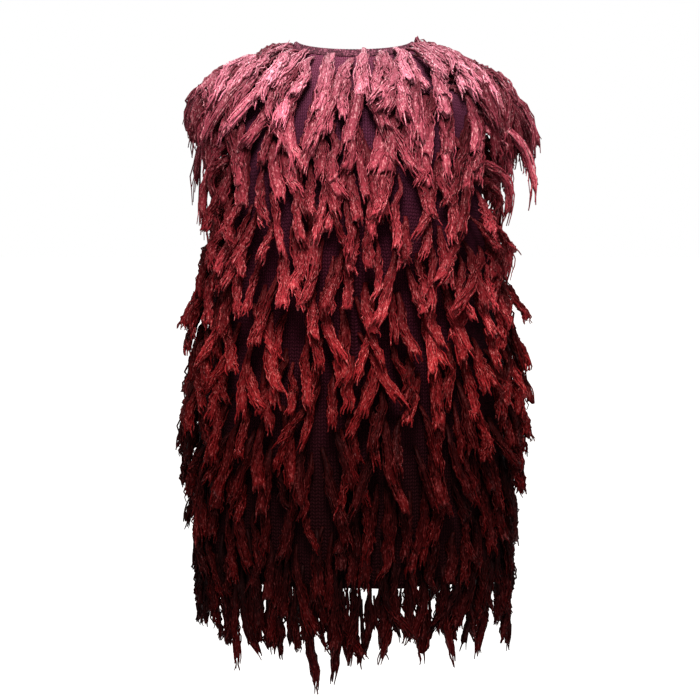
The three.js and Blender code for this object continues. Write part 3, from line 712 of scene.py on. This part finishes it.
class Value:
    """A socket of a finish's nodes, with the operators of arithmetic."""

    def __init__(self, finish, socket):
        self.finish, self.socket = finish, socket

    __add__, __radd__ = operator("ADD"), operator("ADD", swapped=True)
    __sub__, __rsub__ = operator("SUBTRACT"), operator("SUBTRACT", swapped=True)
    __mul__, __rmul__ = operator("MULTIPLY"), operator("MULTIPLY", swapped=True)
    __truediv__, __rtruediv__ = operator("DIVIDE"), operator("DIVIDE", swapped=True)
    __pow__, __rpow__ = operator("POWER"), operator("POWER", swapped=True)
    __abs__, fraction = operator("ABSOLUTE"), operator("FRACT")

    def clamped(self):
        return self.finish.node("ShaderNodeClamp", {}, {0: self})


class Finish:
    """A material under construction: its nodes and its shader, whose sockets take the constants."""

    def __init__(self, name, **constants):
        self.material = bpy.data.materials.new(name)
        self.material.use_nodes = True
        self.nodes = self.material.node_tree.nodes
        self.links = self.material.node_tree.links
        self.shader = next(n for n in self.nodes if n.type == "BSDF_PRINCIPLED")
        for socket, value in constants.items():
            self.shader.inputs[socket.replace("_", " ").title().replace("Ior", "IOR")].default_value = value

    def put(self, socket, value):
        """Links a value to a socket, or sets the socket to a number or a colour."""
        if isinstance(value, Value):
            self.links.new(value.socket, socket)
        elif hasattr(socket.default_value, "__len__") and len(socket.default_value) == 4:
            socket.default_value = (*value, 1.0) if len(value) == 3 else value
        else:
            socket.default_value = value

    def node(self, kind, settings, inputs, output=0):
        """Any node, by its type, its settings, what its sockets get and the output that is used."""
        made = self.nodes.new(kind)
        for name, value in settings.items():
            if name == "stops":
                ramp = made.color_ramp
                while len(ramp.elements) < len(value):
                    ramp.elements.new(0.5)
                for element, (place, colour) in zip(ramp.elements, value):
                    element.position = place
                    element.color = (*colour, 1.0)
            else:
                setattr(made, name, value)
        for name, value in inputs.items():
            self.put(made.inputs[name], value)
        return Value(self, made.outputs[output])

    def attribute(self, name, output="Fac"):
        return self.node("ShaderNodeAttribute", {"attribute_name": name}, {}, output)

    def place(self):
        return self.node("ShaderNodeTexCoord", {}, {}, "Object")

    def height(self):
        """The height as a share, 0 at the hem and 1 at the shoulders."""
        z = self.node("ShaderNodeSeparateXYZ", {}, {0: self.place()}, "Z")
        return ((z - HEM_Z) / -HEM_Z).clamped()

    def noise(self, scale, detail=2.0, roughness=0.5, stretch=None, vector=None):
        """Cloudy noise over the object, or over a vector of its own."""
        vector = vector or self.place()
        if stretch is not None:
            vector = self.node("ShaderNodeMapping", {}, {"Vector": vector, "Scale": stretch})
        inputs = {"Vector": vector, "Scale": scale, "Detail": detail, "Roughness": roughness}
        return self.node("ShaderNodeTexNoise", {}, inputs, "Fac")

    def ramp(self, factor, stops):
        return self.node("ShaderNodeValToRGB", {"stops": stops}, {"Fac": factor})

    def mix(self, factor, first, second, blend="MIX"):
        settings = {"data_type": "RGBA", "blend_type": blend}
        return self.node("ShaderNodeMix", settings, {0: factor, 6: first, 7: second}, 2)

    def shaded(self, value):
        """A painted shade as a colour, whose green and blue change faster than its red: darker shade turns a
        deeper red, brighter a pinker one.
        """
        return self.node("ShaderNodeCombineColor", {}, {0: value, 1: value ** 1.35, 2: value ** 1.3})

    def bump(self, height, strength, distance):
        return self.node("ShaderNodeBump", {}, {"Height": height, "Strength": strength, "Distance": distance})

    def wear(self, **inputs):
        """Links what varies over the surface to the shader."""
        for socket, value in inputs.items():
            self.put(self.shader.inputs[socket.replace("_", " ").title()], value)
        return self.material


def yarn_finish():
    """Lustrous cut yarn: each yarn has its own random depth of colour, painted darker at the side seams and
    round the armholes as painted shade. Roots are darker as painted shade under the row above, and the colour
    deepens to the hem, partly a moderate ombré and partly painted shade of the light falling off from above.
    Bright specks are painted glints.
    """
    finish = Finish("cut_yarn", specular_ior_level=0.10, specular_tint=(1.0, 0.4, 0.42, 1.0),
                    coat_roughness=0.3, coat_ior=1.45)
    height = finish.height()
    # Darker towards the hem: partly a moderate ombré of the yarn, partly painted shade of the light falling
    # off downwards from the lamp above; the pinker top is partly painted highlight
    base = finish.ramp(height, [(0.0, (0.048, 0.0012, 0.0012)), (0.26, (0.120, 0.0040, 0.0046)),
                                (0.42, (0.37, 0.022, 0.026)), (0.68, (0.42, 0.047, 0.064)),
                                (0.86, (0.42, 0.088, 0.132)), (1.0, (0.52, 0.195, 0.262))])
    tone = finish.attribute("tone")
    along = finish.attribute("along")
    streak = finish.noise(1.0, 2.0, 0.6, vector=finish.attribute("fibre", "Vector"))
    crumble = finish.noise(420, 2.0, 0.6) * 0.6 + streak * 0.4
    broken = finish.node("ShaderNodeMapRange", {}, {0: crumble, 1: 0.40, 2: 0.62, 3: 0.72, 4: 1.30})
    # Painted shade: darker towards each lock's root, as under the row above, and lifted a little towards the
    # shoulders; scaled by each lock's depth of colour and the crumbly texture
    shade = (0.18 + 1.04 * tone) * (0.09 + 0.22 * height ** 2 + along ** 1.9) * broken
    colour = finish.mix(1.0, base, finish.shaded(shade), "MULTIPLY")
    # Painted glints: bright specks mixed towards a pink that grows lighter towards the shoulders, as painted
    # highlight from the light above
    glint = finish.noise(520, 2.0, 0.6, (1, 1, 0.4)) * 0.7 + streak * 0.3
    painted_glints = finish.node("ShaderNodeMapRange", {}, {0: glint, 1: 0.53, 2: 0.63, 3: 0.0, 4: 1.0})
    bright = finish.ramp(height, [(0.0, (0.17, 0.022, 0.020)), (0.26, (0.42, 0.066, 0.062)),
                                  (0.42, (0.86, 0.225, 0.200)), (0.68, (0.92, 0.330, 0.330)),
                                  (0.86, (0.88, 0.400, 0.420)), (1.0, (0.95, 0.640, 0.690))])
    colour = finish.mix(painted_glints * shade.clamped() * 0.64, colour, bright)
    lustre = finish.noise(600, 1.0, 0.5)
    return finish.wear(
        base_color=colour, roughness=0.35 + 0.5 * lustre, coat_weight=(along ** 2.5) * painted_glints * 0.6,
        normal=finish.bump(crumble, 0.4, 0.0014)
    )


def knit_finish():
    """Plain knit in a dark ground: columns of small V stitches with painted shade in their grooves. The
    ground is painted dark as the shade under the fringe, and darker towards the hem as painted falloff of the
    light from above.
    """
    finish = Finish("plain_knit", specular_ior_level=0.04)
    wale = finish.attribute("wale").fraction()
    away = abs(wale - 0.5) * 2
    stitch = (finish.attribute("course") + 0.55 * away).fraction()
    leg = 1 - abs(stitch - 0.5) * 2
    groove = 1 - (abs(away - 0.5) * 2) ** 2
    height = (leg ** 0.6) * groove
    fuzz = finish.noise(900, 2.0, 0.6)
    # Painted shade in the grooves between the stitches' legs, broken by fuzz
    shade = 0.5 + 0.7 * height + 1.1 * (fuzz - 0.5)
    # Painted shade: darker towards the hem and lighter towards the shoulders, as the light from above falls
    # off
    ground = finish.ramp(finish.height(), [(0.2, (0.015, 0.002, 0.003)), (0.6, (0.040, 0.005, 0.012)),
                                           (0.86, (0.062, 0.013, 0.031)), (1.0, (0.18, 0.046, 0.086))])
    colour = finish.mix(1.0, ground, finish.shaded(shade), "MULTIPLY")
    return finish.wear(
        base_color=colour, roughness=0.75 + 0.2 * fuzz, normal=finish.bump(height + 0.5 * fuzz, 0.7, 0.0020)
    )


def band_finish():
    """The neck band's rib, a little lighter than the ground, with fuzzy flecks."""
    finish = Finish("rib_knit", sheen_weight=0.1, sheen_roughness=0.45, sheen_tint=(1.0, 0.5, 0.6, 1.0),
                    specular_ior_level=0.2)
    fuzz = finish.noise(360, 3.0, 0.7)
    colour = finish.ramp(fuzz, [(0.38, (0.020, 0.003, 0.008)), (0.55, (0.090, 0.018, 0.034)),
                                (0.68, (0.32, 0.11, 0.16))])
    return finish.wear(base_color=colour, roughness=0.6 + 0.3 * fuzz, normal=finish.bump(fuzz, 0.7, 0.0010))


# Camera, stage and light

VIEW = {"distance": 1.62, "pitch": 6.0, "aim": (0.005, 0.06, -0.364), "lens": 69.0}


def add_camera():
    """A camera behind the jacket, a little above it."""
    data = bpy.data.cameras.new("camera")
    data.lens = VIEW["lens"]
    data.sensor_width = 36.0
    data.clip_start, data.clip_end = 0.01, 100.0
    camera = bpy.data.objects.new("camera", data)
    pitch = math.radians(VIEW["pitch"])
    aim = Vector(VIEW["aim"])
    camera.location = aim + VIEW["distance"] * Vector((0, math.cos(pitch), math.sin(pitch)))
    camera.rotation_euler = (aim - camera.location).to_track_quat("-Z", "Y").to_euler()
    bpy.context.scene.collection.objects.link(camera)
    bpy.context.scene.camera = camera


def add_area_light(name, place, aim, size, power, colour=(1, 1, 1)):
    """A soft round light that itself isn't seen."""
    data = bpy.data.lights.new(name, "AREA")
    data.shape = "DISK"
    data.size = size
    data.energy = power
    data.color = colour
    light = bpy.data.objects.new(name, data)
    light.location = place
    light.rotation_euler = (Vector(aim) - Vector(place)).to_track_quat("-Z", "Y").to_euler()
    light.visible_camera = False
    bpy.context.scene.collection.objects.link(light)


def add_world(seen, lit):
    """A white surround: bright where it is seen, and a dimmer soft fill for what it lights."""
    world = bpy.data.worlds.new("surround")
    bpy.context.scene.world = world
    world.use_nodes = True
    nodes, links = world.node_tree.nodes, world.node_tree.links
    ground = next(n for n in nodes if n.type == "BACKGROUND")
    ground.inputs["Color"].default_value = (1.0, 1.0, 1.0, 1.0)
    rays = nodes.new("ShaderNodeLightPath")
    mix = nodes.new("ShaderNodeMix")
    mix.inputs["A"].default_value, mix.inputs["B"].default_value = lit, seen
    links.new(rays.outputs["Is Camera Ray"], mix.inputs["Factor"])
    links.new(mix.outputs["Result"], ground.inputs["Strength"])


def add_floor(z):
    """A pale floor with a glow of its own, which is seen but throws no light up at the fringe."""
    finish = Finish("pale_floor", roughness=0.8, specular_ior_level=0.1, emission_strength=0.965)
    finish.put(finish.shader.inputs["Base Color"], (0.3, 0.295, 0.29))
    finish.put(finish.shader.inputs["Emission Color"], (1.0, 0.99, 0.98))
    half = 30.0
    corners = np.array([(-half, -half, z), (half, -half, z), (half, half, z), (-half, half, z)])
    floor = made_piece("floor", corners, np.array([[0, 1, 2, 3]]), finish.material)
    floor.visible_diffuse = False
    floor.visible_glossy = False


add_camera()

back = Panel("back")
left = Panel("front")
right = Panel("front", hand=-1)

knit = knit_finish()
yarn = yarn_finish()

back_cloth = panel_piece("back_cloth", back, knit, ["back_panel"])
left_cloth = panel_piece("front_cloth_left", left, knit, ["front_panel_left"])
right_cloth = panel_piece("front_cloth_right", right, knit, ["front_panel_right"])
band = band_piece(back, left, right, band_finish())


def numbered(name, first, last):
    """The names of a run of rows in the solids."""
    return [f"{name}_{k:02d}" for k in range(first, last + 1)]


# The locks and thin strands that hang along the hem, and the plainer bodies of the fronts' locks
HEM_LOCKS = {"arc": 0.012, "gap": 0.0180, "length": 0.114, "lift": (0.002, 0.005, 0.008), "width": 0.0115,
             "lean": 0.05, "spread": (0.62, 1.14), "flare": 0.55, "stray": 0.0, "taper": 0.58, "fan": -0.10}
LONG_LOCKS = {**HEM_LOCKS, "spots": (0.50, 0.10, -0.62, -0.80), "length": 0.122, "spread": (0.85, 1.08),
              "taper": 0.3}
FRONT_BODY = {**BODY, "rings": 12, "sides": 8}
HEM_STRANDS = {"arc": 0.008, "gap": 0.0078, "length": 0.080, "lift": (0.001, 0.003, 0.004), "width": 0.0080,
               "lean": 0.07, "spread": (0.6, 1.12), "flare": 0.8, "stray": 0.0, "taper": 0.35, "fan": -0.06,
               "lit": 0.25, "yarns": 2, "body": {**BODY, "rings": 12, "sides": 6}}

# The rows above them: how far up the first one is, how far apart they are, and how many lie close
FIRST_ROW = 0.030
SPACING = {"back": 0.0385, "front": 0.0425}
LOW_ROWS = 4
UNDER_THE_ARM = -0.235

# Rows over the back's roll: level, fan, length, spared shade and gap
UPPER_ROWS = ((1.1, 0.02, 0.084, 0, 0.0185), (1.36, 0.10, 0.086, 0, 0.0195),
              (1.6, 0.20, 0.092, 0, 0.0205), (1.8, 0.30, 0.098, 0.15, 0.0215),
              (1.92, 0.42, 0.098, 0.3, 0.0220), (1.99, 0.46, 0.088, 0.45, 0.0210))
# Rows over the front's roll: level, first share and fan
FRONT_UPPER_ROWS = ((1.12, -0.02, 0.05), (1.4, 0.0, 0.12), (1.66, 0.03, 0.2), (1.95, 0.05, 0.3))
# Locks hooked over the neck band: share and height above the edge
HOOKS = ((0.56, 0.012), (0.50, 0.013), (0.44, 0.016), (0.34, 0.011), (0.25, 0.010), (0.12, 0.014),
         (-0.03, 0.009), (-0.13, 0.015), (-0.25, 0.010), (-0.36, 0.014), (-0.45, 0.021), (-0.50, 0.019),
         (-0.56, 0.010))


def back_rows():
    """Rows of locks on the back, in four bands of height."""
    rng = np.random.default_rng(11)
    lower, middle, upper, top = [], [], [], []
    lower.append(row_on_panel(rng, back, shares=(-0.91, 0.91), yarns=9, **HEM_LOCKS))
    lower.append(row_on_panel(rng, back, yarns=9, **LONG_LOCKS))
    lower.append(row_on_panel(np.random.default_rng(7), back, shares=(-0.99, 0.99), **HEM_STRANDS))
    for k in range(13):
        arc = FIRST_ROW + SPACING["back"] * k
        phase = 0.25 * (-1) ** k
        if k < LOW_ROWS:
            fan, taper = (-0.08 if k < 2 else 0), (0.2 if k < 1 else 0)
            lower.append(row_on_panel(rng, back, arc=arc, shares=(-0.95, 0.95), length=0.090,
                                      lift=LIFT["low"], stray=0.05, phase=phase, fan=fan, taper=taper))
            continue
        reach = 0.98 if HEM_Z + arc < UNDER_THE_ARM else 0.99
        home, lift = (middle, LIFT["middle"]) if k < 9 else (upper, LIFT["upper"])
        home.append(row_on_panel(rng, back, arc=arc, shares=(-reach, reach), phase=phase, lift=lift,
                                 lean=0.15, stray=0.2))
    for level, fan, length, bare, gap in UPPER_ROWS:
        home = upper if level < 1.5 else top
        lift = LIFT["top"] if level < 1.7 else LIFT["shoulder"]
        home.append(row_on_panel(rng, back, level=level, shares=(-0.98, 0.97), fan=fan, lean=0.18, gap=gap,
                                 width=0.0140, lift=lift, length=length, bare=bare, jitter=0.008, stray=0.2))
    spots, heights = zip(*HOOKS)
    top.append(row_on_panel(rng, back, level=2.0, spots=spots, hook=heights, fan=0.5, lean=0.08, width=0.0150,
                            lift=LIFT["hook"], length=0.098, bare=0.5, stray=0))
    return lower, middle, upper, top


def front_rows(panel, seed):
    """Rows of locks on a front, from the hem up, with fewer yarns than on the back."""
    rng = np.random.default_rng(seed)
    rows = [row_on_panel(rng, panel, shares=(-0.03, 0.93), yarns=5, body=FRONT_BODY, **HEM_LOCKS)]
    for k in range(11):
        arc = FIRST_ROW + SPACING["front"] * k
        reach = 0.98 if HEM_Z + arc < UNDER_THE_ARM else 0.93
        lift = LIFT["low"] if k < LOW_ROWS else LIFT["middle"]
        fan, taper = (-0.10, 0.25) if k < 2 else (0, 0)
        rows.append(row_on_panel(rng, panel, arc=arc, shares=(-0.03, reach), yarns=5, body=FRONT_BODY,
                                 lift=lift, stray=0.05, phase=0.25 * (-1) ** k, fan=fan, taper=taper))
    for level, start, fan in FRONT_UPPER_ROWS:
        rows.append(row_on_panel(rng, panel, level=level, shares=(start, 0.88), fan=fan, lean=0.12, yarns=6,
                                 gap=0.018, lift=LIFT["front_top"], body=FRONT_BODY, jitter=0.003))
    return rows


def armhole_rows(front, hand, seed, reach, arch, ends):
    """Three rounds of locks over a shoulder, from the armhole's edge in towards the neck."""
    rng = np.random.default_rng(seed)
    return [
        armhole_locks(rng, back, front, hand, 20, 0.48 * reach, 0.080, 0.97, 0.5 * arch, ends),
        armhole_locks(rng, back, front, hand, 16, reach, 0.070, 0.82, 0.75 * arch, ends),
        armhole_locks(rng, back, front, hand, 10, 0.85 * reach, 0.072, 0.62, 0.12 * arch, ends, first=1.5),
    ]


lower, middle, upper, top = back_rows()
back_fringe = [
    fringe_piece("back_fringe_lower", lower, yarn, numbered("back_fringe", 1, 3)),
    fringe_piece("back_fringe_middle", middle, yarn, numbered("back_fringe", 4, 6)),
    fringe_piece("back_fringe_upper", upper, yarn, numbered("back_fringe", 7, 9)),
    fringe_piece("back_fringe_top", top, yarn, numbered("back_fringe", 10, 11)),
]
left_fringe = [fringe_piece("front_fringe_left", front_rows(left, 23), yarn,
                            numbered("front_fringe_left", 1, 11))]
right_fringe = [fringe_piece("front_fringe_right", front_rows(right, 37), yarn,
                             numbered("front_fringe_right", 1, 11))]
left_arm = fringe_piece("shoulder_fringe_left", armhole_rows(left, 1, 41, 0.060, 0.028, 0.30), yarn,
                        ["armhole_fringe_left"])
right_arm = fringe_piece("shoulder_fringe_right", armhole_rows(right, -1, 53, 0.079, 0.027, 0.62), yarn,
                         ["armhole_fringe_right"])

add_world(seen=1.0, lit=0.62)
add_floor(-1.35)
add_area_light("key", (0.0, 0.78, 0.62), (0, 0.08, -0.25), 0.36, 22.5, (1.0, 0.965, 0.93))
add_area_light("front_fill", (0.3, -1.4, 0.9), (0, 0, -0.35), 1.4, 34.0)

settings = bpy.context.scene.view_settings
settings.view_transform = "Standard"
settings.look = "None"
settings.exposure = 0.0
